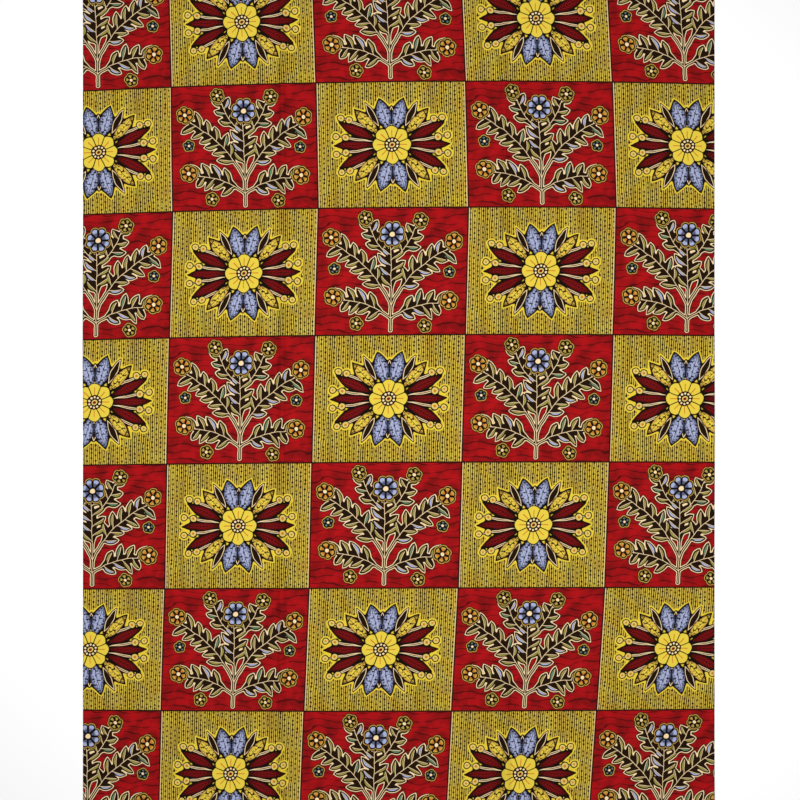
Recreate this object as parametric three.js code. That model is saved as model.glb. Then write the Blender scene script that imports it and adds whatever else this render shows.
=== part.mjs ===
// A length of printed cotton cloth, two yards long, laid out flat in one layer, face up.
//
// Frame: millimetres, +X across the cloth from one woven edge to the other, +Y along its length,
// +Z up. The origin is the middle of the cloth, on the surface that it lies on.
//
// The cloth is one woven piece with nothing sewn on, so it is one wall of even thickness. Its weft
// turns back at the two long edges, which are woven and round. Its two ends are cut square across.
import * as THREE from "three";

// Driving dimensions.
const INCH = 25.4;
const YARD = 36 * INCH;
const LOOM_WIDTH = 46 * INCH; // from one woven edge to the other
const PIECE_LENGTH = 2 * YARD; // from one cut end to the other
const WALL = 1; // thickness of the cloth wall
const WOVEN_EDGE_STEPS = 3; // flats in each quarter round of a woven edge
const LENGTH_STEPS = 24; // stretches of the wall along its length

const printedCotton = new THREE.MeshStandardMaterial({ color: 0x9c6a24, roughness: 0.85, metalness: 0 });

// The wall's section from one woven edge to the other: flat below and above, and half round at
// both edges. Its x runs across the cloth, and its y is the height above the surface.
function clothSection(width, thickness) {
  const radius = thickness / 2;
  const flat = width / 2 - radius; // from the middle of the cloth to the start of the half round
  const section = new THREE.Shape();
  section.moveTo(-flat, 0);
  section.lineTo(flat, 0);
  section.absarc(flat, radius, radius, -Math.PI / 2, Math.PI / 2, false);
  section.lineTo(-flat, thickness);
  section.absarc(-flat, radius, radius, Math.PI / 2, (3 * Math.PI) / 2, false);
  return section;
}

// The section carried along the length of the piece, with a square cut at each end.
function clothWall(width, length, thickness) {
  const wall = new THREE.ExtrudeGeometry(clothSection(width, thickness), {
    depth: length,
    steps: LENGTH_STEPS,
    curveSegments: WOVEN_EDGE_STEPS,
    bevelEnabled: false,
  });
  wall.rotateX(Math.PI / 2); // the section's y becomes +Z, and the way along the cloth -Y
  wall.translate(0, length / 2, 0);
  return wall;
}

const part = new THREE.Group();

const cloth = new THREE.Mesh(clothWall(LOOM_WIDTH, PIECE_LENGTH, WALL), printedCotton);
cloth.name = "cloth";
part.add(cloth);

export default part;
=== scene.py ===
"""A length of wax print cotton, laid out flat and face up in one layer.

The cloth is a thin woven shell on its solid, with a chequer of red and olive-gold panels printed right
through it. Each red panel holds a flowering plant with leafy branches on a grained ground, and each
gold panel holds a medallion of petals, leaves and spots on a ground of fine upright lines and dots.
Shader nodes draw the prints in millimetres, as distances to stems, leaves, petals and spots. Two
creases run along the whole cloth, where it was folded, and low ridges and lifted edges show where it
was handled.

Everything is in metres in the part's own frame, with +X across the cloth, +Y along it and +Z up. Sizes
of the print are in millimetres.
"""

import logging
import math
from dataclasses import dataclass
from enum import Enum
from typing import Iterator, NamedTuple, Union

import bpy
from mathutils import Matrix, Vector


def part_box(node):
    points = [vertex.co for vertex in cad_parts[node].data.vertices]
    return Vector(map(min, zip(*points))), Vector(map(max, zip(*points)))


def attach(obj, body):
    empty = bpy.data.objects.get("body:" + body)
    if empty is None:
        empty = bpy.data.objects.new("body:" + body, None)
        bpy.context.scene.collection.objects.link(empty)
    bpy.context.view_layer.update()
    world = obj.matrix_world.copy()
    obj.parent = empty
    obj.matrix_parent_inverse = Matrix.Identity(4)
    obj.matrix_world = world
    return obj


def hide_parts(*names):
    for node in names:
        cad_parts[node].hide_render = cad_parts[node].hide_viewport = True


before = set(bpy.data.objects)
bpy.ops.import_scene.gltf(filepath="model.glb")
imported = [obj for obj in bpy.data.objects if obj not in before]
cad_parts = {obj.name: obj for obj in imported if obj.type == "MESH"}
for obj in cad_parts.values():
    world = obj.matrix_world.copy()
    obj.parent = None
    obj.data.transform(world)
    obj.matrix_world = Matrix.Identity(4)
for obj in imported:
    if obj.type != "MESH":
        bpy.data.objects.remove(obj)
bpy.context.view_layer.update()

LOG = logging.getLogger("wax_print")
MM = 0.001
PANEL_WIDTH = 272.0
PANEL_HEIGHT = 233.7
SETTLING_ROUNDS = 8
DISPLAY_FULL = 255
DISPLAY_KNEE = 0.04045
DISPLAY_SLOPE = 12.92
DISPLAY_OFFSET = 0.055
DISPLAY_GAMMA = 2.4


class Dye(Enum):
    """The colours of the print, as red, green and blue from 0 to 255."""

    RED = (164, 14, 19)
    RED_DEEP = (124, 12, 14)
    RED_GRAIN = (72, 8, 8)
    GOLD_LINE = (207, 183, 68)
    GOLD_GAP = (64, 48, 2)
    GOLD_MOSS = (56, 53, 2)
    GOLD_DOT = (24, 18, 4)
    YELLOW = (222, 196, 66)
    HALO = (222, 194, 56)
    CREAM = (240, 211, 164)
    ORANGE = (190, 112, 30)
    AMBER = (190, 150, 66)
    BLACK = (17, 9, 4)
    LEAF = (30, 16, 4)
    OLIVE = (148, 138, 66)
    SAGE = (96, 128, 96)
    BLUE = (80, 86, 116)
    LAVENDER = (162, 168, 200)
    MAROON = (82, 8, 8)
    BERRY = (122, 12, 16)
    RIPE = (214, 190, 100)
    BORDER = (34, 10, 6)

    def rgba(self) -> tuple[float, float, float, float]:
        """The colour as linear red, green, blue and alpha."""
        return (*(linear(channel / DISPLAY_FULL) for channel in self.value), 1.0)


def linear(channel: float) -> float:
    """Converts one display channel to linear light.

    Args:
        channel: The display value, from 0 to 1.

    Returns:
        The linear value, from 0 to 1.
    """
    if channel <= DISPLAY_KNEE:
        return channel / DISPLAY_SLOPE
    return ((channel + DISPLAY_OFFSET) / (1 + DISPLAY_OFFSET)) ** DISPLAY_GAMMA


# ---------------------------------------------------------------------------------------------------
# Shader arithmetic


class Wire:
    """A number that varies over the cloth: the output of a shader node, with arithmetic."""

    def __init__(self, graph: "Graph", socket: bpy.types.NodeSocket) -> None:
        """Keeps the graph that the node is in, and the node's output."""
        self.graph = graph
        self.socket = socket

    def __add__(self, other: "Value") -> "Wire":
        """The sum."""
        return self.graph.math("ADD", self, other)

    def __sub__(self, other: "Value") -> "Wire":
        """The difference."""
        return self.graph.math("SUBTRACT", self, other)

    def __rsub__(self, other: "Value") -> "Wire":
        """The difference, from a plain number."""
        return self.graph.math("SUBTRACT", other, self)

    def __mul__(self, other: "Value") -> "Wire":
        """The product."""
        return self.graph.math("MULTIPLY", self, other)

    def __truediv__(self, other: "Value") -> "Wire":
        """The quotient."""
        return self.graph.math("DIVIDE", self, other)

    def __abs__(self) -> "Wire":
        """The size without its sign."""
        return self.graph.math("ABSOLUTE", self)

    __radd__ = __add__
    __rmul__ = __mul__


Value = Union[Wire, float]
Wires = dict[str, Wire]


class Graph:
    """Adds nodes to one node tree and links them."""

    def __init__(self, tree: bpy.types.NodeTree) -> None:
        """Keeps the tree that the nodes go into."""
        self.tree = tree

    def feed(self, socket: bpy.types.NodeSocket, value: object) -> None:
        """Links a wire to an input, or sets the input to a plain value.

        Args:
            socket: The node's input.
            value: A wire, a number, a tuple or a dye.
        """
        if isinstance(value, Wire):
            self.tree.links.new(value.socket, socket)
        elif isinstance(value, Dye):
            socket.default_value = value.rgba()
        else:
            socket.default_value = value

    def node(self, kind: str, *values: object, **settings: object) -> bpy.types.Node:
        """Adds one node.

        Args:
            kind: The node's type, without its leading "ShaderNode".
            values: What goes into the inputs, in their order, with None for one left as it is.
            settings: The node's own properties.

        Returns:
            The node.
        """
        made = self.tree.nodes.new("ShaderNode" + kind)
        for name, setting in settings.items():
            setattr(made, name, setting)
        for socket, value in zip(made.inputs, values):
            if value is not None:
                self.feed(socket, value)
        return made

    def out(self, made: bpy.types.Node, name: Union[str, int] = 0) -> Wire:
        """One of a node's outputs as a wire."""
        return Wire(self, made.outputs[name])

    def math(self, operation: str, *values: Value) -> Wire:
        """The result of a Math node."""
        return self.out(self.node("Math", *values, operation=operation))

    def point(self, x: Value, y: Value) -> Wire:
        """A point of the print's plane."""
        return self.out(self.node("CombineXYZ", x, y))

    def between(self, place: Wire, point: object) -> Wire:
        """The way from a point to a place."""
        return self.out(self.node("VectorMath", place, point, operation="SUBTRACT"))

    def along(self, way: Wire, direction: object) -> Wire:
        """How far a way goes in a direction of length 1."""
        return self.out(self.node("VectorMath", way, direction, operation="DOT_PRODUCT"), "Value")

    def length(self, way: Wire) -> Wire:
        """The length of a way."""
        return self.out(self.node("VectorMath", way, operation="LENGTH"), "Value")

    def distance(self, place: Wire, point: object) -> Wire:
        """The distance from a point to a place."""
        return self.out(self.node("VectorMath", place, point, operation="DISTANCE"), "Value")

    def parts(self, place: Wire) -> tuple[Wire, Wire]:
        """The x and y of a place."""
        made = self.node("SeparateXYZ", place)
        return self.out(made, "X"), self.out(made, "Y")

    def clamp(self, value: Wire, low: Value, high: Value) -> Wire:
        """A value held between two others."""
        return self.out(self.node("Clamp", value, low, high))

    def nearest(self, *distances: Wire) -> Wire:
        """Finds the smallest of some distances.

        Args:
            distances: The distances to compare.

        Returns:
            The smallest one at each place.
        """
        found = distances[0]
        for distance in distances[1:]:
            found = self.math("MINIMUM", found, distance)
        return found

    def melt(self, a: Value, b: Value, web: float) -> Wire:
        """Joins two distances with a rounded web of that width in the corner between them."""
        return self.math("SMOOTH_MIN", a, b, web)

    def inside(self, distance: Wire, edge: float = 0.0, soft: float = 0.25) -> Wire:
        """A mask of what lies within a distance.

        Args:
            distance: The distance to a shape, in millimetres, negative inside it.
            edge: The distance at which the mask ends.
            soft: Half the width over which the dye bleeds at its edge.

        Returns:
            1 inside and 0 outside.
        """
        made = self.node("MapRange", distance, edge - soft, edge + soft, 1.0, 0.0)
        return self.out(made)

    def choose(self, mask: Value, off: Value, on: Value) -> Wire:
        """Mixes two numbers by a mask.

        Args:
            mask: From 0 to 1.
            off: The number where the mask is 0.
            on: The number where it is 1.

        Returns:
            The mixed number.
        """
        made = self.node("Mix", data_type="FLOAT")
        for name, value in (("Factor", mask), ("A", off), ("B", on)):
            self.feed(made.inputs[name], value)
        return self.out(made, "Result")

    def paint(self, under: object, over: object, mask: Value, blend: str = "MIX") -> Wire:
        """Lays one colour over another.

        Args:
            under: The colour below, a wire or a dye.
            over: The colour on top, a wire or a dye.
            mask: Where the top colour covers, from 0 to 1.
            blend: How the colours combine.

        Returns:
            The colour that results.
        """
        made = self.node("Mix", data_type="RGBA", blend_type=blend)
        colours = [socket for socket in made.inputs if socket.type == "RGBA"]
        self.feed(made.inputs["Factor"], mask)
        self.feed(colours[0], under)
        self.feed(colours[1], over)
        return Wire(self, next(socket for socket in made.outputs if socket.type == "RGBA"))

    def chance(self, x: Value, y: Value = 0.0) -> tuple[Wire, Wire, Wire]:
        """Three numbers from 0 to 1 that hang on a pair of whole numbers.

        Args:
            x: The first whole number.
            y: The second.

        Returns:
            The three numbers.
        """
        noise = self.node("TexWhiteNoise", self.point(x, y), noise_dimensions="2D")
        split = self.node("SeparateColor", self.out(noise, "Color"))
        return self.out(split, 0), self.out(split, 1), self.out(split, 2)

    def cloud(self, place: Wire, size: float, detail: float = 2.0) -> bpy.types.Node:
        """Soft noise whose blotches are about that size, in the units of the place."""
        return self.node("TexNoise", place, None, 1.0 / size, detail, noise_dimensions="3D")


class Effect:
    """A shader node group, built once and placed in any tree with its own values."""

    title: str = ""
    inputs: dict[str, object] = {}
    outputs: tuple[str, ...] = ()

    def compose(self, graph: Graph, given: Wires) -> Wires:
        """Draws the effect.

        Args:
            graph: The group's own graph.
            given: The group's inputs by name.

        Returns:
            The group's outputs by name.
        """
        raise NotImplementedError

    def tree(self) -> bpy.types.NodeTree:
        """Finds the group's tree, or builds it the first time that it is asked for.

        Returns:
            The tree.
        """
        found = bpy.data.node_groups.get(self.title)
        if found:
            return found
        tree = bpy.data.node_groups.new(self.title, "ShaderNodeTree")
        kinds = {float: "NodeSocketFloat", tuple: "NodeSocketVector"}
        for name, default in self.inputs.items():
            socket = tree.interface.new_socket(name, in_out="INPUT", socket_type=kinds[type(default)])
            socket.default_value = default
        for name in self.outputs:
            kind = "NodeSocketColor" if name == "Color" else "NodeSocketFloat"
            tree.interface.new_socket(name, in_out="OUTPUT", socket_type=kind)
        graph = Graph(tree)
        entry = tree.nodes.new("NodeGroupInput")
        drawn = self.compose(graph, {name: graph.out(entry, name) for name in self.inputs})
        exit_node = tree.nodes.new("NodeGroupOutput")
        for name in self.outputs:
            graph.feed(exit_node.inputs[name], drawn[name])
        return tree

    def place(self, graph: Graph, **values: object) -> Wires:
        """Puts the effect into a graph.

        Args:
            graph: The graph that uses the effect.
            values: The inputs, named as in the group with underscores for spaces.

        Returns:
            The outputs by name.
        """
        made = graph.tree.nodes.new("ShaderNodeGroup")
        made.node_tree = self.tree()
        made.label = self.title
        for name, value in values.items():
            graph.feed(made.inputs[name.replace("_", " ")], value)
        return {name: graph.out(made, name) for name in self.outputs}


# ---------------------------------------------------------------------------------------------------
# Pieces of the print


@dataclass(frozen=True)
class HandDrawn(Effect):
    """Moves a place a little, so that drawn lines wander as a hand's do."""

    title = "hand_drawn"
    inputs = {"Place": (0.0, 0.0, 0.0)}
    outputs = ("X", "Y")
    wander: float = 5.0
    blotch: float = 24.0

    def compose(self, graph: Graph, given: Wires) -> Wires:
        """Adds a soft noise to both coordinates.

        Args:
            graph: The group's own graph.
            given: The Place.

        Returns:
            The X and Y of the moved place.
        """
        noise = graph.out(graph.cloud(given["Place"], self.blotch), "Color")
        shift = graph.between(noise, (0.5, 0.5, 0.5))
        x, y = graph.parts(given["Place"])
        dx, dy = graph.parts(shift)
        return {"X": x + dx * self.wander, "Y": y + dy * self.wander}


class StemPlace(NamedTuple):
    """A place measured from a leafy stem: how far along its arc, how far off it, its side as 1 or -1,
    where the leaves of that side start as a share of their pitch, and the number of the leaf behind."""

    along: Wire
    off: Wire
    side: Wire
    start: Wire
    leaf: Wire


@dataclass(frozen=True)
class LeafyStem(Effect):
    """A stem that curves on an arc, with pointed leaves on both sides.

    Lengths run along the arc from its start. Body is the distance to the stem and its leaves, Flesh to
    the tinted half inside each leaf, Rib to the pale line in each leaf and along the stem, and Tint a
    chance number for each leaf.
    """

    title = "leafy_stem"
    inputs = {
        "Place": (0.0, 0.0, 0.0),
        "Centre": (0.0, 0.0, 0.0),
        "Outward": (1.0, 0.0, 0.0),
        "Onward": (0.0, 1.0, 0.0),
        "Radius": 100.0,
        "First Leaf": 0.0,
        "Last Leaf": 5.0,
        "Leaf Length": 28.0,
        "Chance": 0.0,
    }
    outputs = ("Body", "Flesh", "Rib", "Tint")
    pitch: float = 19.0
    stagger: float = 0.25
    lean: float = 0.92
    lean_range: float = 0.24
    half_length: float = 0.43
    half_length_range: float = 0.14
    leaf_half_width: float = 6.4
    leaf_bend: float = 0.012
    rim: float = 2.1
    fold: float = 1.1
    rib: float = 0.5
    rib_length: float = 1.7
    stem: float = 2.6
    web: float = 6.4
    web_run: float = 16.0
    melt: float = 4.0

    def leaf(self, graph: Graph, given: Wires, spot: StemPlace, step: int) -> Wires:
        """Draws one of the two leaves that can be nearest to a place.

        Args:
            graph: The group's own graph.
            given: The group's inputs.
            spot: The place, measured from the stem.
            step: 0 for the leaf behind the place, 1 for the one ahead.

        Returns:
            The leaf's Body, Flesh, Rib and Tint.
        """
        number = graph.clamp(spot.leaf + float(step), given["First Leaf"], given["Last Leaf"])
        odds = graph.chance(number, given["Chance"] + spot.side)
        angle = (odds[0] - 0.5) * self.lean_range + self.lean
        cosine = graph.math("COSINE", angle)
        sine = graph.math("SINE", angle)
        half = given["Leaf Length"] * (odds[1] * self.half_length_range + self.half_length)
        ahead = spot.along - (number + spot.start) * self.pitch
        up = ahead * cosine + spot.off * sine
        bend = (odds[2] - 0.5) * self.leaf_bend
        aside = spot.off * cosine - ahead * sine + up * up * bend
        sweep = (half * half / self.leaf_half_width + self.leaf_half_width) / 2.0
        hollow = sweep - self.leaf_half_width
        body = graph.length(graph.point(up - half, abs(aside) + hollow)) - sweep
        flesh = graph.math("MAXIMUM", body + self.rim, self.fold - aside)
        held = graph.clamp(up, 0.0, half * self.rib_length)
        rib = graph.length(graph.point(up - held, aside)) - self.rib
        return {"Body": body, "Flesh": flesh, "Rib": rib, "Tint": odds[2]}

    def compose(self, graph: Graph, given: Wires) -> Wires:
        """Measures the place along the arc and joins the nearest leaves to the stem.

        Args:
            graph: The group's own graph.
            given: The Place, the arc's Centre and Radius, the ways Outward and Onward where it starts,
                its leaves' numbers and length, and the Chance that they hang on.

        Returns:
            The Body, Flesh, Rib and Tint.
        """
        way = graph.between(given["Place"], given["Centre"])
        across = graph.along(way, given["Outward"])
        onward = graph.along(way, given["Onward"])
        along = graph.math("ARCTAN2", onward, across) * given["Radius"]
        rise = graph.length(way) - given["Radius"]
        off = abs(rise)
        side = graph.math("SIGN", rise)
        start = side * self.stagger + 0.5
        root = along - off / math.tan(self.lean)
        spot = StemPlace(along, off, side, start, graph.math("FLOOR", root / self.pitch - start))
        behind, ahead = (self.leaf(graph, given, spot, step) for step in (0, 1))
        end = (given["Last Leaf"] + 1.0) * self.pitch
        held = graph.clamp(along, 0.0, end)
        middle = graph.length(graph.point(along - held, rise))
        room = graph.nearest(held - given["First Leaf"] * self.pitch, end - held)
        web = graph.clamp(room / self.web_run, 0.0, 1.0) * self.web
        leaves = graph.melt(behind["Body"], ahead["Body"], self.melt)
        closer = graph.math("LESS_THAN", ahead["Body"], behind["Body"])
        return {
            "Body": graph.melt(leaves, middle - self.stem - web, self.melt),
            "Flesh": graph.nearest(behind["Flesh"], ahead["Flesh"]),
            "Rib": graph.nearest(behind["Rib"], ahead["Rib"], middle - self.rib),
            "Tint": graph.choose(closer, behind["Tint"], ahead["Tint"]),
        }


@dataclass(frozen=True)
class Blossom(Effect):
    """A flower seen from the front. Edge is the distance to its outline, Rib to the middle line of a
    petal, Seam to the line between two petals and Reach to the flower's middle."""

    title = "blossom"
    inputs = {
        "Place": (0.0, 0.0, 0.0),
        "Centre": (0.0, 0.0, 0.0),
        "Radius": 16.0,
        "Petals": 6.0,
        "Turn": 0.0,
    }
    outputs = ("Edge", "Rib", "Seam", "Reach")
    notch: float = 0.2
    roundness: float = 0.6

    def compose(self, graph: Graph, given: Wires) -> Wires:
        """Shortens the flower's radius between its petals.

        Args:
            graph: The group's own graph.
            given: The Place, and the flower's Centre, Radius, number of Petals and Turn.

        Returns:
            The Edge, Rib, Seam and Reach.
        """
        way = graph.between(given["Place"], given["Centre"])
        x, y = graph.parts(way)
        reach = graph.length(way)
        turn = (graph.math("ARCTAN2", y, x) + given["Turn"]) / math.tau * given["Petals"]
        aside = abs(graph.math("FRACT", turn) - 0.5)
        bulge = graph.math("POWER", graph.math("COSINE", aside * math.pi), self.roundness)
        full = given["Radius"] * (bulge * self.notch + (1.0 - self.notch))
        arc = reach * math.tau / given["Petals"]
        return {"Edge": reach - full, "Rib": aside * arc, "Seam": (0.5 - aside) * arc, "Reach": reach}


@dataclass(frozen=True)
class PointedLeaf(Effect):
    """A leaf with two pointed ends. Edge is the distance to its outline, Rib to its middle line, and
    Along runs from 0 at its base to 1 at its tip."""

    title = "pointed_leaf"
    inputs = {
        "Place": (0.0, 0.0, 0.0),
        "Base": (0.0, 0.0, 0.0),
        "Way": (0.0, 1.0, 0.0),
        "Side": (1.0, 0.0, 0.0),
        "Length": 30.0,
        "Half Width": 6.0,
    }
    outputs = ("Edge", "Rib", "Along")

    def compose(self, graph: Graph, given: Wires) -> Wires:
        """Bounds the leaf by two parabolas and by its ends.

        Args:
            graph: The group's own graph.
            given: The Place, and the leaf's Base, Way, Side, Length and Half Width.

        Returns:
            The Edge, Rib and Along.
        """
        way = graph.between(given["Place"], given["Base"])
        along = graph.along(way, given["Way"]) / given["Length"]
        rib = abs(graph.along(way, given["Side"]))
        bulge = along * (1.0 - along) * 4.0
        beyond = (abs(along - 0.5) - 0.5) * given["Length"]
        edge = graph.math("MAXIMUM", rib - given["Half Width"] * bulge, beyond)
        return {"Edge": edge, "Rib": rib, "Along": along}


class Stem(NamedTuple):
    """One leafy stem of the red panel: where it starts, its heading there in degrees from straight up
    and clockwise, how many degrees it turns from leaf to leaf, the numbers of its first and last leaf
    on each side, counted from 0 at its start, and the length of a leaf."""

    name: str
    x: float
    y: float
    heading: float
    turn: float
    first_leaf: int
    last_leaf: int
    leaf_length: float


class Flower(NamedTuple):
    """One blossom of the red panel: its middle, radius, number of petals, turn, and the dyes of its
    petals and of their base."""

    name: str
    x: float
    y: float
    radius: float
    petals: int
    turn: float
    petal: Dye
    base: Dye


@dataclass(frozen=True)
class PlantPanel(Effect):
    """The red panel: a flowering plant with arching leafy branches, on a red ground with a fine grain.

    The branches and their blossoms are drawn once for both sides of the trunk, a little higher on one
    side, and the leaves have their own lean and length on each side.
    """

    title = "plant_panel"
    inputs = {"Place": (0.0, 0.0, 0.0)}
    outputs = ("Color",)
    trunk: Stem = Stem("trunk", 0.0, -108.0, 0.5, -0.4, 4, 7, 29.0)
    branches: tuple[Stem, ...] = (
        Stem("crown", 0.0, 22.0, 52.0, -9.0, 1, 3, 24.0),
        Stem("upper", 0.0, -62.0, 24.0, 5.0, 2, 7, 29.0),
        Stem("lower", 0.0, -86.0, 54.0, 6.6, 1, 4, 30.0),
    )
    top: Flower = Flower("top", -1.0, 68.0, 23.0, 8, 0.0, Dye.LAVENDER, Dye.BLUE)
    blossoms: tuple[Flower, ...] = (
        Flower("crown", 50.0, 96.0, 13.0, 6, 0.3, Dye.OLIVE, Dye.AMBER),
        Flower("upper", 111.0, 59.0, 16.0, 6, 0.1, Dye.AMBER, Dye.ORANGE),
        Flower("lower", 105.0, -50.5, 16.0, 6, 0.2, Dye.AMBER, Dye.ORANGE),
        Flower("foot", 62.0, -98.0, 12.0, 5, 0.1, Dye.OLIVE, Dye.AMBER),
        Flower("bud", 104.0, 2.0, 10.0, 5, 0.4, Dye.SAGE, Dye.BLUE),
    )
    tilt: float = 0.04
    trunk_chance: float = 5.0
    branch_chance: float = 60.0
    side_chance: float = 40.0
    cream: float = 1.45
    contour: float = 1.4
    join: float = 3.0
    pale_leaves: float = 0.88
    green_leaves: float = 0.12
    petal_rim: float = 2.4
    petal_seam: float = 2.2
    base_share: float = 0.62
    base_soft: float = 1.5
    eye_share: float = 0.36
    pupil_share: float = 0.22
    grain_pitch: float = 14.0
    grain_swirl: float = 38.0
    grain_stretch: float = 0.4
    grain_rise: float = 0.55
    grain_blotch: float = 24.0
    grain_width: float = 3.6
    grain_gaps: float = 0.95
    grain_soft: float = 0.5
    grain_strength: float = 0.95
    tone_soft: float = 0.14

    def grow(self, graph: Graph, place: Wire, stem: Stem, chance: Value) -> Wires:
        """Draws one stem.

        Args:
            graph: The group's own graph.
            place: The place in the panel.
            stem: The stem's row in the table.
            chance: The number that the leaves' own lean, length and tint hang on.

        Returns:
            The stem's Body, Flesh, Rib and Tint.
        """
        art = LeafyStem()
        heading = math.radians(stem.heading)
        onward = Vector((math.sin(heading), math.cos(heading), 0.0))
        radius = art.pitch / math.radians(abs(stem.turn))
        inward = Vector((onward.y, -onward.x, 0.0)) * math.copysign(1.0, stem.turn)
        return art.place(
            graph,
            Place=place,
            Centre=Vector((stem.x, stem.y, 0.0)) + inward * radius,
            Outward=-inward,
            Onward=onward,
            Radius=radius,
            First_Leaf=float(stem.first_leaf),
            Last_Leaf=float(stem.last_leaf),
            Leaf_Length=stem.leaf_length,
            Chance=chance,
        )

    def plant(self, graph: Graph, place: Wire, half: Wire, side: Wire) -> Wires:
        """Joins the stems.

        Args:
            graph: The group's own graph.
            place: The place in the panel.
            half: The place in the half that the branches are drawn in.
            side: 1 on the right of the trunk and -1 on its left.

        Returns:
            The Body, Flesh, Rib and Tint of all the stems together.
        """
        whole = self.grow(graph, place, self.trunk, self.trunk_chance)
        for number, stem in enumerate(self.branches, start=1):
            chance = side * self.side_chance + self.branch_chance * number
            more = self.grow(graph, half, stem, chance)
            closer = graph.math("LESS_THAN", more["Body"], whole["Body"])
            joined = graph.melt(whole["Body"], more["Body"], self.join)
            whole = {name: graph.choose(closer, whole[name], more[name]) for name in LeafyStem.outputs}
            whole["Body"] = joined
        return whole

    def ground(self, graph: Graph, place: Wire) -> Wire:
        """Paints the red ground, deeper in places, with its thin, wavy grain lines.

        Args:
            graph: The group's own graph.
            place: The place in the panel.

        Returns:
            The colour.
        """
        x, y = graph.parts(place)
        bent = graph.point(x * self.grain_stretch, y * self.grain_rise)
        swirl = graph.out(graph.cloud(bent, self.grain_blotch))
        rows = graph.math("FRACT", (y + swirl * self.grain_swirl) / self.grain_pitch)
        patch = graph.out(graph.cloud(graph.point(x, y + PANEL_HEIGHT), self.grain_blotch))
        width = patch * self.grain_width - self.grain_gaps
        line = abs(rows - 0.5) * self.grain_pitch - width
        red = graph.paint(Dye.RED_DEEP, Dye.RED, graph.inside(patch, 0.5, self.tone_soft))
        grain = graph.inside(line, 0.0, self.grain_soft) * self.grain_strength
        return graph.paint(red, Dye.RED_GRAIN, grain)

    def bloom(self, graph: Graph, place: Wire, under: Wire, flower: Flower) -> Wire:
        """Paints one blossom.

        Args:
            graph: The group's own graph.
            place: The place in the panel.
            under: The colour so far.
            flower: The blossom's row in the table.

        Returns:
            The colour with the blossom on it.
        """
        shape = Blossom().place(
            graph,
            Place=place,
            Centre=(flower.x, flower.y, 0.0),
            Radius=flower.radius,
            Petals=float(flower.petals),
            Turn=flower.turn,
        )
        edge, seam, reach = shape["Edge"], shape["Seam"], shape["Reach"]
        petal = graph.inside(edge, -self.petal_rim) * graph.inside(self.petal_seam - seam)
        base = petal * graph.inside(reach, self.base_share * flower.radius, self.base_soft)
        colour = graph.paint(under, Dye.BLACK, graph.inside(edge, self.cream + self.contour))
        colour = graph.paint(colour, Dye.AMBER, graph.inside(edge, self.cream))
        colour = graph.paint(colour, Dye.BLACK, graph.inside(edge))
        colour = graph.paint(colour, flower.petal, petal)
        colour = graph.paint(colour, flower.base, base)
        colour = graph.paint(colour, Dye.BLACK, graph.inside(reach, self.eye_share * flower.radius))
        return graph.paint(colour, Dye.CREAM, graph.inside(reach, self.pupil_share * flower.radius))

    def compose(self, graph: Graph, given: Wires) -> Wires:
        """Paints the panel from its ground up.

        Args:
            graph: The group's own graph.
            given: The Place, in millimetres from the panel's middle.

        Returns:
            The Color.
        """
        moved = HandDrawn().place(graph, Place=given["Place"])
        x, y = moved["X"], moved["Y"]
        place = graph.point(x, y)
        half = graph.point(abs(x), y + x * self.tilt)
        plant = self.plant(graph, place, half, graph.math("SIGN", x))
        body, tint = plant["Body"], plant["Tint"]
        flesh = graph.paint(Dye.OLIVE, Dye.LAVENDER, graph.math("GREATER_THAN", tint, self.pale_leaves))
        flesh = graph.paint(flesh, Dye.SAGE, graph.math("LESS_THAN", tint, self.green_leaves))
        colour = self.ground(graph, given["Place"])
        colour = graph.paint(colour, Dye.BLACK, graph.inside(body, self.cream + self.contour))
        colour = graph.paint(colour, Dye.CREAM, graph.inside(body, self.cream))
        colour = graph.paint(colour, Dye.LEAF, graph.inside(body))
        colour = graph.paint(colour, flesh, graph.inside(plant["Flesh"]))
        colour = graph.paint(colour, Dye.CREAM, graph.inside(plant["Rib"]))
        for flower in self.blossoms:
            colour = self.bloom(graph, half, colour, flower)
        return {"Color": self.bloom(graph, place, colour, self.top)}


class Spot(NamedTuple):
    """One yellow spot of a quarter of the medallion: its middle and radius."""

    x: float
    y: float
    radius: float


class Blade(NamedTuple):
    """One pointed leaf or petal of a quarter of the medallion: its base, heading in degrees from
    straight up and clockwise, length, half width, and the dyes of its edge and of its middle."""

    name: str
    x: float
    y: float
    heading: float
    length: float
    half_width: float
    outer: Dye
    middle: Dye


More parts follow.
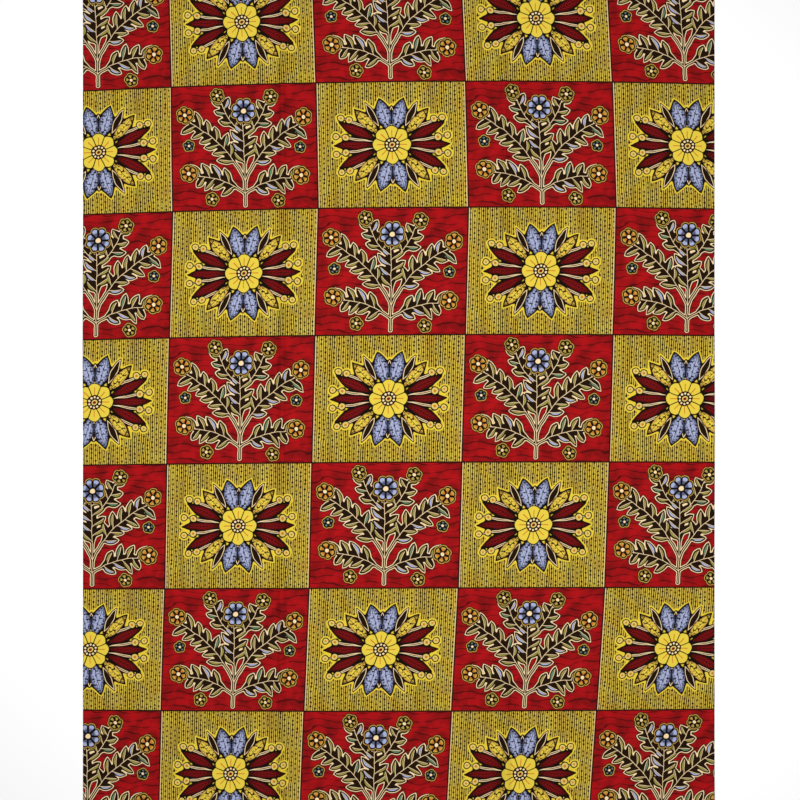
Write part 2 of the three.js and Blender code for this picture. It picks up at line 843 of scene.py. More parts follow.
@dataclass(frozen=True)
class MedallionPanel(Effect):
    """The gold panel: a medallion of petals and leaves on a ground of fine upright lines and dots.

    One quarter of the medallion is drawn, and mirrored left to right and top to bottom. The blossom in
    its middle is drawn whole.
    """

    title = "medallion_panel"
    inputs = {"Place": (0.0, 0.0, 0.0)}
    outputs = ("Color",)
    line_pitch: float = 4.0
    line_half_width: float = 1.15
    line_range: float = 0.5
    dot_column: float = 8.0
    dot_pitch: float = 9.5
    dot_stray: float = 0.45
    dot: float = 1.85
    dot_squeeze: float = 0.85
    tone_blotch: float = 30.0
    tone_soft: float = 0.2
    tone_strength: float = 0.7
    web: float = 9.0
    rim: float = 1.8
    halo: float = 2.6
    petals: tuple[Blade, ...] = (
        Blade("level", 32.0, 0.0, 90.0, 72.0, 8.0, Dye.MAROON, Dye.BERRY),
        Blade("middle", 31.0, 11.0, 65.0, 70.0, 9.0, Dye.MAROON, Dye.BERRY),
    )
    petal_rim: float = 1.0
    petal_middle: float = 3.4
    petal_soft: float = 1.4
    veins: float = 11.0
    vein_slant: float = 0.24
    vein: float = 0.12
    wings: tuple[Blade, ...] = (
        Blade("upright", 6.0, 26.0, 15.0, 62.0, 13.5, Dye.BLUE, Dye.LAVENDER),
        Blade("slanting", 25.0, 20.0, 42.0, 62.0, 10.5, Dye.AMBER, Dye.YELLOW),
    )
    wing_rim: float = 1.4
    wing_middle: float = 3.0
    speckle: float = 3.8
    speckle_edge: float = 0.58
    speckle_soft: float = 0.12
    speckle_spread: float = 5.0
    leaves: tuple[Blade, ...] = (
        Blade("crown", 0.0, 34.0, 0.0, 38.0, 5.0, Dye.CREAM, Dye.LEAF),
        Blade("slip", 24.0, 34.0, 27.0, 50.0, 6.0, Dye.CREAM, Dye.LEAF),
        Blade("low_stalk", 34.0, 6.0, 80.5, 62.0, 2.0, Dye.CREAM, Dye.LEAF),
        Blade("high_stalk", 34.0, 27.0, 67.5, 58.0, 2.0, Dye.CREAM, Dye.LEAF),
    )
    leaf_rim: float = 1.2
    rib: float = 0.5
    spots: tuple[Spot, ...] = (
        Spot(84.0, 14.0, 5.6),
        Spot(101.0, 16.5, 5.0),
        Spot(77.0, 47.0, 5.6),
        Spot(92.0, 50.0, 5.0),
    )
    spot_middle: float = 3.2
    spot_soft: float = 0.8
    heart_radius: float = 35.0
    heart_petals: float = 8.0
    heart_turn: float = 0.39
    seam: float = 0.9
    ray: float = 0.8
    ray_end: float = 8.0
    eye: float = 14.0
    beads: float = 10.0
    bead_ring: float = 9.8
    bead: float = 2.0
    pupil: float = 5.2
    core: float = 3.0

    def blade(self, graph: Graph, place: Wire, row: Blade) -> Wires:
        """Draws one pointed leaf or petal.

        Args:
            graph: The group's own graph.
            place: The place in the quarter.
            row: The leaf's row in its table.

        Returns:
            The leaf's Edge, Rib and Along.
        """
        heading = math.radians(row.heading)
        return PointedLeaf().place(
            graph,
            Place=place,
            Base=(row.x, row.y, 0.0),
            Way=(math.sin(heading), math.cos(heading), 0.0),
            Side=(math.cos(heading), -math.sin(heading), 0.0),
            Length=row.length,
            Half_Width=row.half_width,
        )

    def ground(self, graph: Graph, place: Wire) -> Wire:
        """Paints the olive-gold ground: bright upright lines, with dark dots in every other gap.

        Args:
            graph: The group's own graph.
            place: The place in the panel.

        Returns:
            The colour.
        """
        x, y = graph.parts(place)
        row = graph.math("FLOOR", x / self.line_pitch)
        half_width = (graph.chance(row)[0] - 0.5) * self.line_range + self.line_half_width
        off = abs(x - (row + 0.5) * self.line_pitch) - half_width
        column = graph.math("FLOOR", x / self.dot_column)
        step = y / self.dot_pitch + column * 0.5
        number = graph.math("FLOOR", step)
        stray = (graph.chance(column, number)[1] - 0.5) * self.dot_stray
        aside = x - (column + 0.5) * self.dot_column
        rise = (step - number - 0.5 + stray) * self.dot_pitch
        dot = graph.length(graph.point(aside, rise * self.dot_squeeze))
        cloud = graph.out(graph.cloud(place, self.tone_blotch))
        warmth = graph.inside(cloud, 0.5, self.tone_soft)
        line = graph.paint(Dye.GOLD_LINE, Dye.AMBER, warmth * self.tone_strength)
        between = graph.paint(Dye.GOLD_MOSS, Dye.GOLD_GAP, warmth)
        colour = graph.paint(between, line, graph.inside(off))
        return graph.paint(colour, Dye.GOLD_DOT, graph.inside(dot, self.dot))

    def speckled(self, graph: Graph, under: Wire, place: Wire, wings: list[Wires]) -> Wire:
        """Paints the broad leaves with their speckles.

        Args:
            graph: The group's own graph.
            under: The colour so far.
            place: The place in the quarter.
            wings: Each leaf's distances.

        Returns:
            The colour with the leaves on it.
        """
        cells = graph.node("TexVoronoi", place, None, 1.0 / self.speckle, voronoi_dimensions="2D")
        spot = graph.out(cells, "Distance")
        speckles = graph.inside(spot, self.speckle_edge, self.speckle_soft)
        colour = under
        for row, wing in zip(self.wings, wings):
            edge = wing["Edge"]
            spread = edge + spot * self.speckle_spread
            middle = graph.inside(spread, -self.wing_middle, self.wing_middle)
            rib = graph.inside(wing["Rib"], self.rib) * graph.inside(edge)
            colour = graph.paint(colour, Dye.BLACK, graph.inside(edge))
            colour = graph.paint(colour, row.outer, graph.inside(edge, -self.wing_rim) * speckles)
            colour = graph.paint(colour, row.middle, middle * speckles)
            colour = graph.paint(colour, Dye.BLACK, rib)
        return colour

    def fan(self, graph: Graph, under: Wire, place: Wire, petals: list[Wires]) -> Wire:
        """Paints the dark red petals with their veins, and the yellow spots between them.

        Args:
            graph: The group's own graph.
            under: The colour so far.
            place: The place in the quarter.
            petals: Each petal's distances.

        Returns:
            The colour with the petals and spots on it.
        """
        colour = under
        for row, petal in zip(self.petals, petals):
            edge, rib = petal["Edge"], petal["Rib"]
            middle = graph.inside(edge, -self.petal_middle, self.petal_soft)
            wave = graph.math("FRACT", petal["Along"] * self.veins - rib * self.vein_slant)
            veins = graph.inside(abs(wave - 0.5), self.vein, self.vein / 2)
            lines = graph.math("MAXIMUM", veins, graph.inside(rib, self.rib))
            colour = graph.paint(colour, Dye.BLACK, graph.inside(edge))
            colour = graph.paint(colour, row.outer, graph.inside(edge, -self.petal_rim))
            colour = graph.paint(colour, row.middle, middle)
            colour = graph.paint(colour, Dye.BLACK, lines * graph.inside(edge, -self.petal_rim))
        for spot in self.spots:
            edge = graph.distance(place, (spot.x, spot.y, 0.0)) - spot.radius
            middle = graph.inside(edge, -self.spot_middle, self.spot_soft)
            colour = graph.paint(colour, Dye.BLACK, graph.inside(edge, self.rim / 2))
            colour = graph.paint(colour, Dye.RIPE, graph.inside(edge))
            colour = graph.paint(colour, Dye.ORANGE, middle)
        return colour

    def heart(self, graph: Graph, under: Wire, place: Wire, shape: Wires) -> Wire:
        """Paints the yellow blossom in the middle.

        Args:
            graph: The group's own graph.
            under: The colour so far.
            place: The place in the panel.
            shape: The blossom's distances.

        Returns:
            The colour with the blossom on it.
        """
        edge, reach = shape["Edge"], shape["Reach"]
        seams = graph.inside(shape["Seam"], self.seam) * graph.inside(edge)
        rays = graph.inside(shape["Rib"], self.ray) * graph.inside(edge, -self.ray_end)
        x, y = graph.parts(place)
        sector = math.tau / self.beads
        turn = graph.math("FRACT", graph.math("ARCTAN2", y, x) / sector) - 0.5
        bead = graph.length(graph.point(turn * sector * self.bead_ring, reach - self.bead_ring))
        colour = graph.paint(under, Dye.BLACK, graph.inside(edge, self.rim))
        colour = graph.paint(colour, Dye.YELLOW, graph.inside(edge))
        colour = graph.paint(colour, Dye.BLACK, seams)
        colour = graph.paint(colour, Dye.ORANGE, rays)
        colour = graph.paint(colour, Dye.BLACK, graph.inside(reach, self.eye))
        colour = graph.paint(colour, Dye.CREAM, graph.inside(bead, self.bead))
        colour = graph.paint(colour, Dye.RIPE, graph.inside(reach, self.pupil))
        return graph.paint(colour, Dye.BERRY, graph.inside(reach, self.core))

    def compose(self, graph: Graph, given: Wires) -> Wires:
        """Paints the panel from its ground up.

        Args:
            graph: The group's own graph.
            given: The Place, in millimetres from the panel's middle.

        Returns:
            The Color.
        """
        moved = HandDrawn().place(graph, Place=given["Place"])
        whole = graph.point(moved["X"], moved["Y"])
        quarter = graph.point(abs(moved["X"]), abs(moved["Y"]))
        wings = [self.blade(graph, quarter, row) for row in self.wings]
        petals = [self.blade(graph, quarter, row) for row in self.petals]
        leaves = [self.blade(graph, quarter, row)["Edge"] for row in self.leaves]
        spots = [graph.distance(quarter, (row.x, row.y, 0.0)) - row.radius for row in self.spots]
        flower = Blossom().place(
            graph,
            Place=whole,
            Radius=self.heart_radius,
            Petals=self.heart_petals,
            Turn=self.heart_turn,
        )
        figure = graph.nearest(*leaves, *spots)
        for more in (*petals, *wings, flower):
            figure = graph.melt(figure, more["Edge"], self.web)
        colour = self.ground(graph, whole)
        colour = graph.paint(colour, Dye.HALO, graph.inside(figure, self.rim + self.halo))
        colour = graph.paint(colour, Dye.BLACK, graph.inside(figure, self.rim))
        for row, edge in zip(self.leaves, leaves):
            colour = graph.paint(colour, row.outer, graph.inside(edge))
            colour = graph.paint(colour, row.middle, graph.inside(edge, -self.leaf_rim))
        colour = self.fan(graph, colour, quarter, petals)
        colour = self.speckled(graph, colour, quarter, wings)
        return {"Color": self.heart(graph, colour, whole, flower)}


# ---------------------------------------------------------------------------------------------------
# The cotton itself


@dataclass(frozen=True)
class PlainWeave(Effect):
    """The over-and-under of fine cotton. Height is for bump, and Shade is darker between the yarns."""

    title = "plain_weave"
    inputs = {"Place": (0.0, 0.0, 0.0), "Yarn": 0.34}
    outputs = ("Height", "Shade")
    darkest: float = 0.86
    shade_range: float = 0.22

    def compose(self, graph: Graph, given: Wires) -> Wires:
        """Crosses round warp and weft yarns, each on top at every other crossing.

        Args:
            graph: The group's own graph.
            given: The Place and the width of a Yarn, in millimetres.

        Returns:
            The Height and Shade.
        """
        x, y = graph.parts(given["Place"])
        x, y = x / given["Yarn"], y / given["Yarn"]
        parity = graph.math("MODULO", abs(graph.math("FLOOR", x) + graph.math("FLOOR", y)), 2.0)
        warp = graph.math("SINE", graph.math("FRACT", x) * math.pi)
        weft = graph.math("SINE", graph.math("FRACT", y) * math.pi)
        height = graph.choose(parity, warp * (weft * 0.5 + 0.5), weft * (warp * 0.5 + 0.5))
        return {"Height": height, "Shade": height * self.shade_range + self.darkest}


@dataclass(frozen=True)
class DyeMottle(Effect):
    """The unevenness of dye that was taken up by cotton, as a factor near 1."""

    title = "dye_mottle"
    inputs = {"Place": (0.0, 0.0, 0.0), "Strength": 0.1}
    outputs = ("Factor",)
    cloud_size: float = 90.0
    cloud_detail: float = 3.0
    streak_width: float = 1.6
    streak_squeeze: float = 0.08

    def compose(self, graph: Graph, given: Wires) -> Wires:
        """Adds broad clouds to fine streaks along the warp.

        Args:
            graph: The group's own graph.
            given: The Place, in millimetres, and the Strength.

        Returns:
            The Factor.
        """
        broad = graph.out(graph.cloud(given["Place"], self.cloud_size, self.cloud_detail))
        x, y = graph.parts(given["Place"])
        streak = graph.out(graph.cloud(graph.point(x, y * self.streak_squeeze), self.streak_width))
        return {"Factor": (broad + streak - 1.0) * given["Strength"] + 1.0}


@dataclass(frozen=True)
class PaintedCreaseShade(Effect):
    """Painted shade: a darker band along a pressed crease, as a factor near 1."""

    title = "painted_crease_shade"
    inputs = {
        "Place": (0.0, 0.0, 0.0),
        "Position": 0.0,
        "Lean": 0.0,
        "Half Width": 9.0,
        "Strength": 0.07,
    }
    outputs = ("Factor",)
    blotch: float = 26.0
    soft: float = 2.5

    def compose(self, graph: Graph, given: Wires) -> Wires:
        """Breaks the band up unevenly along its length.

        Args:
            graph: The group's own graph.
            given: The Place, and the band's Position, Lean, Half Width and Strength.

        Returns:
            The Factor.
        """
        x, y = graph.parts(given["Place"])
        away = abs(x - given["Position"] - y * given["Lean"])
        noise = graph.out(graph.cloud(given["Place"], self.blotch))
        # Painted shade: the band darkens the print along the crease, unevenly along its length.
        band = graph.inside(away, given["Half Width"], self.soft) * (noise + 0.5)
        return {"Factor": 1.0 - band * given["Strength"]}


@dataclass(frozen=True)
class BorderLine(Effect):
    """The thin dark line where two panels meet, and the pale edge inside it."""

    title = "border_line"
    inputs = {
        "Place": (0.0, 0.0, 0.0),
        "Half Width": PANEL_WIDTH / 2,
        "Half Height": PANEL_HEIGHT / 2,
    }
    outputs = ("Line", "Edge")
    line: float = 1.3
    edge: float = 3.2

    def compose(self, graph: Graph, given: Wires) -> Wires:
        """Measures how far the place is from the nearest side of its panel.

        Args:
            graph: The group's own graph.
            given: The Place, and the panel's Half Width and Half Height.

        Returns:
            The Line and Edge as masks.
        """
        x, y = graph.parts(given["Place"])
        wide = given["Half Width"] - abs(x)
        away = graph.nearest(wide, given["Half Height"] - abs(y))
        return {"Line": graph.inside(away, self.line), "Edge": graph.inside(wide, self.edge)}


@dataclass(frozen=True)
class PrintedCotton:
    """A finish: plain-weave cotton printed with one kind of panel, with painted shade along its
    creases.
    """

    name: str
    panel: Effect
    pale_edge: float
    creases: tuple["Crease", ...]
    roughness: float = 0.86
    yarn_gloss: float = 0.12
    specular: float = 0.06
    sheen: float = 0.015
    sheen_roughness: float = 0.4
    bump_strength: float = 0.5
    weave_relief: float = 0.08 * MM

    def shade(self, graph: Graph, cloth: Wire, weave: Wire) -> Wire:
        """Darkens the print with painted shade between the yarns and along the creases, and in its
        mottled places.

        Args:
            graph: The material's graph.
            cloth: The place on the cloth, in millimetres.
            weave: The shade of the weave.

        Returns:
            The factor that the print's colours are multiplied by.
        """
        factor = weave * DyeMottle().place(graph, Place=cloth)["Factor"]
        for crease in self.creases:
            # Painted shade along each crease, multiplied into the print's colour.
            crease_shade = PaintedCreaseShade().place(
                graph,
                Place=cloth,
                Position=crease.x,
                Lean=crease.lean * MM,
                Half_Width=crease.width / 2,
            )
            factor = factor * crease_shade["Factor"]
        return factor

    def colour(self, graph: Graph) -> Wire:
        """Paints the panel with the lines at its sides.

        Args:
            graph: The material's graph.

        Returns:
            The print's colour.
        """
        grid = graph.out(graph.node("UVMap", uv_map=ClothSheet.PRINT_MAP))
        size = (PANEL_WIDTH, PANEL_HEIGHT, 1.0)
        centred = graph.between(grid, (0.5, 0.5, 0.0))
        place = graph.out(graph.node("VectorMath", centred, size, operation="MULTIPLY"))
        border = BorderLine().place(graph, Place=place)
        colour = self.panel.place(graph, Place=place)["Color"]
        if self.pale_edge:
            colour = graph.paint(colour, Dye.CREAM, border["Edge"] * self.pale_edge)
        return graph.paint(colour, Dye.BORDER, border["Line"])

    def material(self) -> bpy.types.Material:
        """Builds the material.

        Returns:
            A matt cotton with a slight sheen, its print in Base Color and its weave in Normal.
        """
        made = bpy.data.materials.new(self.name)
        made.use_nodes = True
        graph = Graph(made.node_tree)
        shader = made.node_tree.nodes["Principled BSDF"]
        cloth = graph.out(graph.node("TexCoord"), "Object")
        cloth = graph.out(graph.node("VectorMath", cloth, (1 / MM,) * 3, operation="MULTIPLY"))
        weave = PlainWeave().place(graph, Place=cloth)
        shade = self.shade(graph, cloth, weave["Shade"])
        grey = graph.out(graph.node("CombineColor", shade, shade, shade))
        colour = graph.paint(self.colour(graph), grey, 1.0, "MULTIPLY")
        graph.feed(shader.inputs["Base Color"], colour)
        graph.feed(shader.inputs["Roughness"], self.roughness - weave["Height"] * self.yarn_gloss)
        shader.inputs["Specular IOR Level"].default_value = self.specular
        shader.inputs["Sheen Weight"].default_value = self.sheen
        shader.inputs["Sheen Roughness"].default_value = self.sheen_roughness
        bump = graph.node("Bump")
        bump.inputs["Strength"].default_value = self.bump_strength
        bump.inputs["Distance"].default_value = self.weave_relief
        graph.feed(bump.inputs["Height"], weave["Height"])
        graph.feed(shader.inputs["Normal"], graph.out(bump))
        return made


# ---------------------------------------------------------------------------------------------------
# The sheet


def at_lines(amounts: tuple[float, ...], number: float) -> float:
    """Reads an amount that is set at each line between panels and changes evenly between two lines.

    Args:
        amounts: The amount at each line, in rising order, with as many lines on each side of number 0.
        number: The column or row number to read it at.

    Returns:
        The amount, held past the first line and the last.
    """
    last = len(amounts) - 1
    steps = min(max(number + last / 2, 0.0), float(last))
    near = min(int(steps), last - 1)
    return amounts[near] + (amounts[near + 1] - amounts[near]) * (steps - near)


@dataclass(frozen=True)
class PrintGrid:
    """Where the printed panels lie on the cloth, in millimetres from its middle.

    A column number of 0.5 is a line between two panels, and so is a row number of 0.5. Each line slips
    off its even place by its own amount: the upright ones towards +X and the level ones towards +Y. The
    cloth was also pulled askew under the rollers. Each level line is shifted along itself towards +X,
    the columns fan out and squeeze together towards the ends, and the level lines tilt and sag.

    Fan is for each column and row, squeeze for each column and row squared, tilt for each column and
    sag for each column squared. Tilt and sag grow with each row.
    """

    column_pitch: float = PANEL_WIDTH
    row_pitch: float = PANEL_HEIGHT
    column_start: float = -15.9
    row_start: float = 4.6
    upright_slips: tuple[float, ...] = (-3.0, -6.0, 0.0, 1.0)
    level_slips: tuple[float, ...] = (4.0, 4.0, -2.0, -3.0, -1.0, 1.0, 0.0, 0.0)
    level_shifts: tuple[float, ...] = (-31.0, -20.0, -9.0, -3.0, 3.0, 9.0, 4.0, -5.0)
    fan: float = 0.7
    squeeze: float = -0.5
    tilt: float = 1.7
    tilt_growth: float = 0.6
    sag: float = -0.9
    sag_growth: float = -0.6

    def place(self, column: float, row: float) -> tuple[float, float]:
        """Where a point of the print lies.

        Args:
            column: Its column number, counted towards +X.
            row: Its row number, counted towards +Y.

        Returns:
            Its x and y on the cloth.
        """
        x = self.column_start + self.column_pitch * column + at_lines(self.upright_slips, column)
        x += at_lines(self.level_shifts, row) + (self.fan + self.squeeze * row) * row * column
        y = self.row_start + self.row_pitch * row + at_lines(self.level_slips, row)
        y += (self.tilt + self.tilt_growth * row) * column
        y += (self.sag + self.sag_growth * row) * column**2
        return x, y


class Ridge(NamedTuple):
    """A soft ridge left by handling: its middle, heading in degrees from +X towards +Y, length, width
    and height, all in millimetres."""

    name: str
    x: float
    y: float
    heading: float
    length: float
    width: float
    height: float


class Crease(NamedTuple):
    """A sharper crease along the whole cloth, pressed in when it was folded: its place across the
    cloth, how far it leans to +X in a metre, its width and height, and the length and start of the
    waves in its height. All but the start, in radians, are in millimetres."""

    name: str
    x: float
    lean: float
    width: float
    height: float
    wave: float
    start: float


class Lift(NamedTuple):
    """A stretch of edge that stands a little off the surface: its highest point, how far round it
    the cloth is lifted, and the height there, all in millimetres."""

    name: str
    x: float
    y: float
    reach: float
    height: float


class Station(NamedTuple):
    """One line of the mesh, as a print number. Past the last panel line before a side of the cloth it
    also has that line's number, the side's place in millimetres and the share of the way there."""

    number: float
    line: float
    side: float
    share: float


def hump(t: float) -> float:
    """A rounded hump.

    Args:
        t: How far from its middle, from -1 to 1.

    Returns:
        1 at the middle, falling smoothly to 0 at either end and beyond.
    """
    return (1 - t * t) ** 2 if abs(t) < 1 else 0.0


@dataclass
class ClothSheet:
    """The whole cloth: a closed thin shell, with the print's grid as its mesh."""

    PRINT_MAP = "print"
    BAKE_MAP = "OFBake"

    low: Vector
    high: Vector
    grid: PrintGrid
    thickness: float = 0.45 * MM
    cell_across: float = 4.0 * MM
    cell_along: float = 16.0 * MM
    ridges: tuple[Ridge, ...] = (
        Ridge("long_left", -172, 60, 92, 1240, 190, 3.0),
        Ridge("long_right", 150, -150, 87, 980, 180, 2.5),
        Ridge("upper_right", 360, 330, 118, 640, 210, 3.2),
        Ridge("lower_left", -400, -330, 74, 560, 200, 2.9),
        Ridge("upper_left", -430, 420, 101, 420, 180, 2.3),
        Ridge("lower_right", 420, -430, 96, 520, 190, 2.7),
        Ridge("upper_end", 40, 700, 68, 430, 200, 3.6),
        Ridge("lower_end", -90, -690, 112, 470, 210, 3.2),
    )
    creases: tuple[Crease, ...] = (
        Crease("third_left", -216.0, 1.6, 18.0, 5.2, 460.0, 0.6),
        Crease("third_right", 197.0, -3.3, 18.0, 4.6, 620.0, 2.1),
    )
    crease_swell: float = 0.28
    lifts: tuple[Lift, ...] = (
        Lift("corner_upper_left", -584, 914, 230, 5.0),
        Lift("corner_upper_right", 584, 914, 190, 3.5),
        Lift("corner_lower_left", -584, -914, 180, 3.5),
        Lift("corner_lower_right", 584, -914, 260, 6.0),
        Lift("edge_left", -584, 120, 200, 2.2),
        Lift("edge_right", 584, -60, 220, 2.6),
    )
    gold_pale_edge: float = 0.55
    bake_margin: float = 0.004
    bake_printed: float = 0.716
    bake_under: float = 0.25

    @property
    def width(self) -> float:
        """From one woven edge to the other."""
        return self.high.x - self.low.x

    @property
    def length(self) -> float:
        """From one cut end to the other."""
        return self.high.y - self.low.y

    def height_at(self, x: float, y: float) -> float:
        """How far the cloth's underside stands off the surface.

        Args:
            x: Across the cloth, in metres.
            y: Along the cloth, in metres.

        Returns:
            The height in metres.
        """
        x, y = x / MM, y / MM
        height = 0.0
        for ridge in self.ridges:
            angle = math.radians(ridge.heading)
            along = (x - ridge.x) * math.cos(angle) + (y - ridge.y) * math.sin(angle)
            across = (y - ridge.y) * math.cos(angle) - (x - ridge.x) * math.sin(angle)
            height += ridge.height * hump(2 * along / ridge.length) * hump(2 * across / ridge.width)
        for crease in self.creases:
            across = x - crease.x - crease.lean * y * MM
            swell = 1 + self.crease_swell * math.sin(math.tau * y / crease.wave + crease.start)
            height += crease.height * swell * hump(2 * across / crease.width)
        for lift in self.lifts:
            height += lift.height * hump(math.hypot(x - lift.x, y - lift.y) / lift.reach)
        return height * MM

    @staticmethod
    def stations(low: float, high: float, start: float, pitch: float, cell: float) -> list[Station]:
        """Lines of the mesh from one side of the cloth to the other, every panel line among them.

        Args:
            low: One side of the cloth, in millimetres.
            high: The other side.
            start: Where print number 0 lies.
            pitch: The distance from one print number to the next.
            cell: The widest gap between two lines, in metres.

        Returns:
            The lines in rising order.
        """
        first, last = (low - start) / pitch, (high - start) / pitch
        lines = [n + 0.5 for n in range(math.ceil(first - 0.5), math.ceil(last - 0.5))]
        found = [Station(first, lines[0], low, 1.0)]
        for near, far in zip([first, *lines], [*lines, last]):
            count = math.ceil((far - near) * pitch * MM / cell)
            for k in range(1, count + 1):
                share = k / count
                number = near + (far - near) * share
                if near == first:
                    found.append(Station(number, far, low, 1.0 - share))
                else:
                    found.append(Station(number, near, high, share if far == last else 0.0))
        return found

    def settle(self, across: Station, along: Station) -> tuple[float, float]:
        """Finds the print numbers of one mesh point, so that the outer points lie on the cloth's edges.

        Args:
            across: The point's station across the cloth.
            along: Its station along the cloth.

        Returns:
            The point's column and row number.
        """
        column, row = across.number, along.number
        for _ in range(SETTLING_ROUNDS):
            x, y = self.grid.place(column, row)
            if across.share:
                line = self.grid.place(across.line, row)[0]
                column += (line + (across.side - line) * across.share - x) / self.grid.column_pitch
            if along.share:
                line = self.grid.place(column, along.line)[1]
                row += (line + (along.side - line) * along.share - y) / self.grid.row_pitch
        return column, row

    def build(self) -> bpy.types.Object:
        """Builds the shell with its two maps.

        Returns:
            The cloth as an object.
        """
        grid = self.grid
        sides = (self.low.x / MM, self.high.x / MM, grid.column_start, grid.column_pitch)
        ends = (self.low.y / MM, self.high.y / MM, grid.row_start, grid.row_pitch)
        columns = self.stations(*sides, self.cell_across)
        rows = self.stations(*ends, self.cell_along)
        numbers = [self.settle(across, along) for along in rows for across in columns]
        under, upper = [], []
        for column, row in numbers:
            x, y = (value * MM for value in grid.place(column, row))
            base = self.height_at(x, y)
            under.append((x, y, base))
            upper.append((x, y, base + self.thickness))
        mesh = bpy.data.meshes.new("cloth_sheet")
        faces, panels = self.shell_faces(columns, rows)
        mesh.from_pydata(under + upper, [], faces)
        self.map_print(mesh, numbers, panels)
        self.map_bake(mesh, len(columns), len(rows))
        for polygon, (column, row) in zip(mesh.polygons, panels):
            polygon.material_index = (column + row) % 2
            polygon.use_smooth = True
        mesh.update()
        cloth = bpy.data.objects.new("cloth_sheet", mesh)
        bpy.context.scene.collection.objects.link(cloth)
        return cloth

    def shell_faces(
        self, columns: list[Station], rows: list[Station]
    ) -> tuple[list[tuple[int, ...]], list[tuple[int, int]]]:
        """Lists the shell's faces: the printed face, the underside and the rim.

        Args:
            columns: The stations across the cloth.
            rows: The stations along it.

        Returns:
            The faces, and each face's panel as a whole column and row number.
        """
        wide, tall = len(columns), len(rows)
        layer = wide * tall
        faces: list[tuple[int, ...]] = []
        panels: list[tuple[int, int]] = []

        def add(face: tuple[int, ...], i: int, j: int) -> None:
            """Keeps a face with the panel of its cell.

            Args:
                face: The numbers of the face's vertices.
                i: The cell's number across the cloth.
                j: Its number along the cloth.
            """
            faces.append(face)
            column = round((columns[i].number + columns[i + 1].number) / 2)
            panels.append((column, round((rows[j].number + rows[j + 1].number) / 2)))

        for i, j in self.cells(wide, tall):
            a, b, c, d = j * wide + i, j * wide + i + 1, (j + 1) * wide + i + 1, (j + 1) * wide + i
            add((a + layer, b + layer, c + layer, d + layer), i, j)
            add((a, d, c, b), i, j)
        for i in range(wide - 1):
            a, b = i, i + 1
            add((a, b, b + layer, a + layer), i, 0)
            a, b = (tall - 1) * wide + i, (tall - 1) * wide + i + 1
            add((b, a, a + layer, b + layer), i, tall - 2)
        for j in range(tall - 1):
            a, b = j * wide, (j + 1) * wide
            add((b, a, a + layer, b + layer), 0, j)
            a, b = j * wide + wide - 1, (j + 1) * wide + wide - 1
            add((a, b, b + layer, a + layer), wide - 2, j)
        return faces, panels

    @staticmethod
    def cells(wide: int, tall: int) -> Iterator[tuple[int, int]]:
        """Counts the cells of the grid, row by row.

        Args:
            wide: How many lines of the mesh run along the cloth.
            tall: How many run across it.

        Yields:
            Each cell's number across and along the cloth.
        """
        for j in range(tall - 1):
            for i in range(wide - 1):
                yield i, j

    def map_print(
        self, mesh: bpy.types.Mesh, numbers: list[tuple[float, float]], panels: list[tuple[int, int]]
    ) -> None:
        """Maps each face to its own panel of the print, from 0 to 1 across and up the panel.

        Args:
            mesh: The shell's mesh.
            numbers: Each grid point's column and row number.
            panels: Each face's panel.
        """
        layer = mesh.uv_layers.new(name=self.PRINT_MAP)
        for polygon, (panel_column, panel_row) in zip(mesh.polygons, panels):
            for loop in polygon.loop_indices:
                column, row = numbers[mesh.loops[loop].vertex_index % len(numbers)]
                layer.data[loop].uv = (column - panel_column + 0.5, row - panel_row + 0.5)

    def map_bake(self, mesh: bpy.types.Mesh, wide: int, tall: int) -> None:
        """Lays the printed face and the underside side by side on one square map, with the rim on the
        underside's part.

        Args:
            mesh: The shell's mesh.
            wide: How many column stations there are.
            tall: How many row stations there are.
        """
        layer = mesh.uv_layers.new(name=self.BAKE_MAP)
        cells = (wide - 1) * (tall - 1)
        margin = self.bake_margin
        shares = ((margin, self.bake_printed), (3 * margin + self.bake_printed, self.bake_under))
        for polygon in mesh.polygons:
            under = polygon.index % 2 if polygon.index < 2 * cells else 1
            start, share = shares[under]
            for loop in polygon.loop_indices:
                point = mesh.vertices[mesh.loops[loop].vertex_index].co
                u = (point.x - self.low.x) / self.width
                v = (point.y - self.low.y) / self.length
                layer.data[loop].uv = (start + share * u, margin + (1 - 2 * margin) * v)

    def dress(self, cloth: bpy.types.Object) -> None:
        """Gives the cloth its two prints, gold on even panels and red on odd ones.

        Args:
            cloth: The cloth's object.
        """
        gold = PrintedCotton("gold_panels", MedallionPanel(), self.gold_pale_edge, self.creases)
        red = PrintedCotton("red_panels", PlantPanel(), 0.0, self.creases)
        for finish in (gold, red):
            cloth.data.materials.append(finish.material())

    def declare(self, cloth: bpy.types.Object) -> None:
        """Attaches the cloth to the root body and hides the part that it stands for.

        Args:
            cloth: The cloth's object.
        """
        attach(cloth, "root")
        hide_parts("cloth")
        self.length


# ---------------------------------------------------------------------------------------------------
# The studio


class Lamp(NamedTuple):
    """One soft lamp: where it hangs, the side of its square face, both in metres, and its watts."""

    name: str
    place: tuple[float, float, float]
    size: float
    power: float


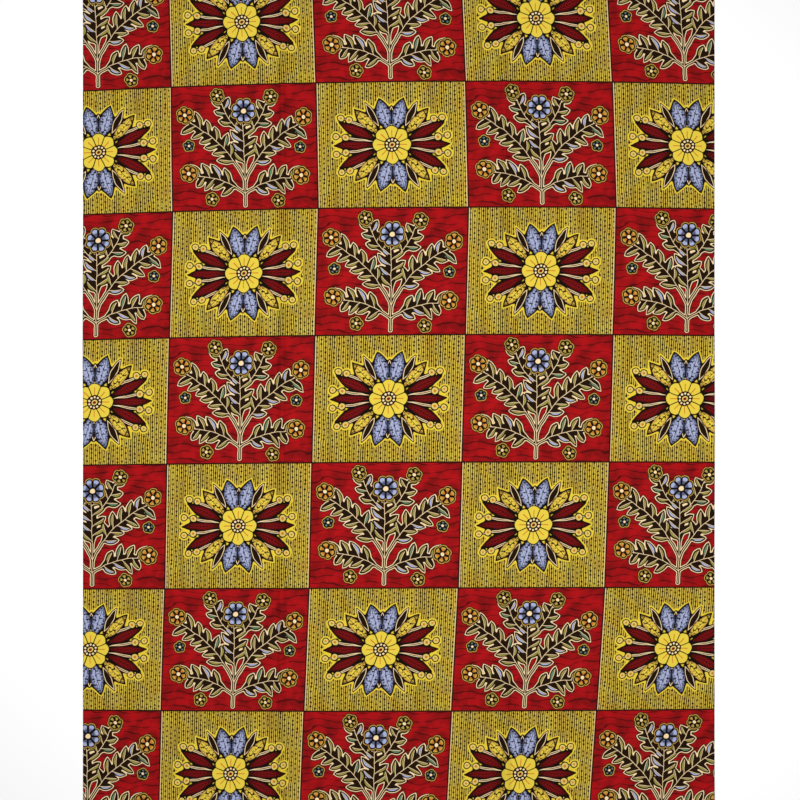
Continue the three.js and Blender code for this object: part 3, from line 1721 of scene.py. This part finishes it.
@dataclass
class Studio:
    """A plain pale floor, soft light from above and the camera over the cloth."""

    view_width: float = 1.48016
    view_shift: float = 2.31 * MM
    lens: float = 85.0
    sensor: float = 36.0
    floor_size: float = 14.0
    floor_drop: float = 0.2 * MM
    floor_tone: float = 0.97
    floor_roughness: float = 0.9
    floor_specular: float = 0.1
    sky_strength: float = 0.3
    lamps: tuple[Lamp, ...] = (
        Lamp("lamp_left", (-0.55, 0.3, 2.1), 1.4, 26.5),
        Lamp("lamp_right", (0.55, -0.2, 2.1), 1.4, 26.5),
    )

    def floor(self) -> bpy.types.Object:
        """Builds the floor just under the cloth.

        Returns:
            The floor.
        """
        half = self.floor_size / 2
        corners = [(-half, -half, 0), (half, -half, 0), (half, half, 0), (-half, half, 0)]
        mesh = bpy.data.meshes.new("floor")
        mesh.from_pydata(corners, [], [(0, 1, 2, 3)])
        floor = bpy.data.objects.new("floor", mesh)
        bpy.context.scene.collection.objects.link(floor)
        floor.location.z = -self.floor_drop
        paper = bpy.data.materials.new("pale_paper")
        paper.use_nodes = True
        shader = paper.node_tree.nodes["Principled BSDF"]
        shader.inputs["Base Color"].default_value = (*(self.floor_tone,) * 3, 1.0)
        shader.inputs["Roughness"].default_value = self.floor_roughness
        shader.inputs["Specular IOR Level"].default_value = self.floor_specular
        mesh.materials.append(paper)
        return floor

    def light(self, row: Lamp) -> None:
        """Adds a soft lamp that faces straight down.

        Args:
            row: The lamp's row in the table.
        """
        lamp = bpy.data.lights.new(row.name, "AREA")
        lamp.size = row.size
        lamp.energy = row.power
        made = bpy.data.objects.new(row.name, lamp)
        made.location = row.place
        bpy.context.scene.collection.objects.link(made)

    def sky(self) -> None:
        """Lights the scene evenly from all round."""
        world = bpy.data.worlds.new("studio")
        world.use_nodes = True
        background = world.node_tree.nodes["Background"]
        background.inputs["Color"].default_value = (1.0, 1.0, 1.0, 1.0)
        background.inputs["Strength"].default_value = self.sky_strength
        bpy.context.scene.world = world

    def camera(self) -> None:
        """Hangs the camera straight over the cloth, with the cloth's length up the picture."""
        camera = bpy.data.cameras.new("camera")
        camera.lens = self.lens
        camera.sensor_width = self.sensor
        made = bpy.data.objects.new("camera", camera)
        made.location = (self.view_shift, 0.0, self.view_width * self.lens / self.sensor)
        bpy.context.scene.collection.objects.link(made)
        bpy.context.scene.camera = made

    def set_up(self) -> None:
        """Builds the floor, the lights and the camera."""
        self.floor()
        self.sky()
        for row in self.lamps:
            self.light(row)
        self.camera()
        bpy.context.scene.view_settings.view_transform = "Standard"


def main() -> None:
    """Builds the studio and the cloth, and reports each piece."""
    logging.basicConfig(level=logging.INFO, format="%(name)s: %(message)s")
    Studio().set_up()
    LOG.info("studio set up")
    low, high = (Vector(corner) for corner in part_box("cloth"))
    sheet = ClothSheet(low, high, PrintGrid())
    cloth = sheet.build()
    sheet.dress(cloth)
    sheet.declare(cloth)
    faces = len(cloth.data.polygons)
    LOG.info("cloth_sheet: %d faces, %.0f by %.0f mm", faces, sheet.width / MM, sheet.length / MM)


if __name__ == "__main__":
    main()
